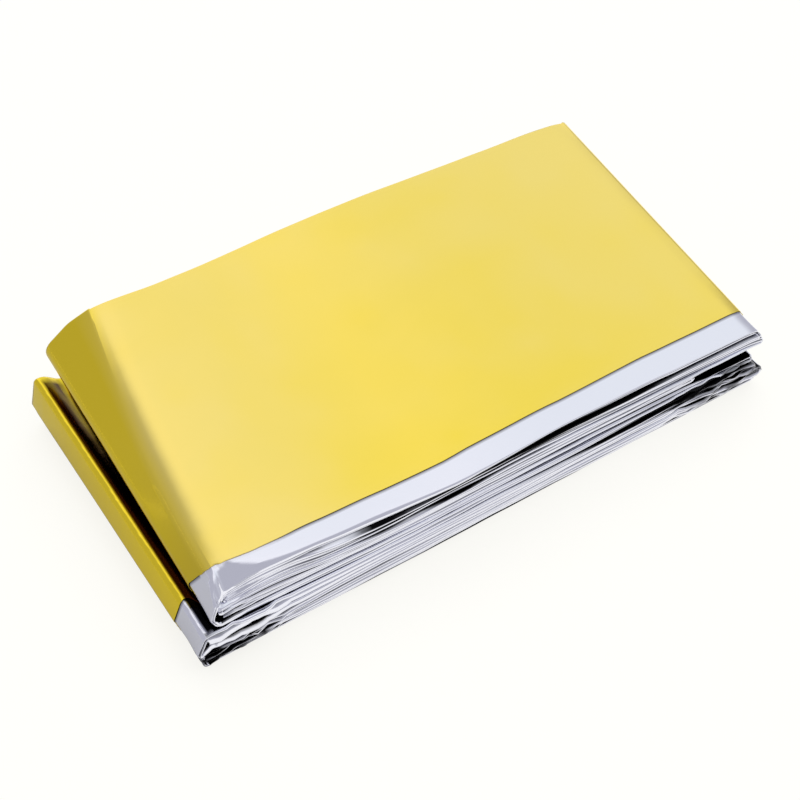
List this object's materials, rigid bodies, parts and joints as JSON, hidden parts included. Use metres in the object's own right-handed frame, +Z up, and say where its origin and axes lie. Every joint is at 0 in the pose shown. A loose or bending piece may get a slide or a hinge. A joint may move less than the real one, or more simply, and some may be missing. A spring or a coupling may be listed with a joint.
{
  "type": "folded emergency foil blanket",
  "caption": "Emergency foil blanket of gold and silver metallised film, folded into a flat springy pack; unfolds to keep a person's body heat in.",
  "frame": {"origin": "centre of the pack's box, on the surface it rests on", "axes": "+X along the folded panels, from the rounded wrap towards the open folds; -Y is the front, where the silver selvedge and the plies end; +Z up"},
  "size_m": [0.1546, 0.0804, 0.0315],
  "materials": {
    "gold_film": "metallised, mirror bright"
  },
  "bodies": {
    "root": {"foil_blanket": "gold_film"}
  },
  "joints": []
}
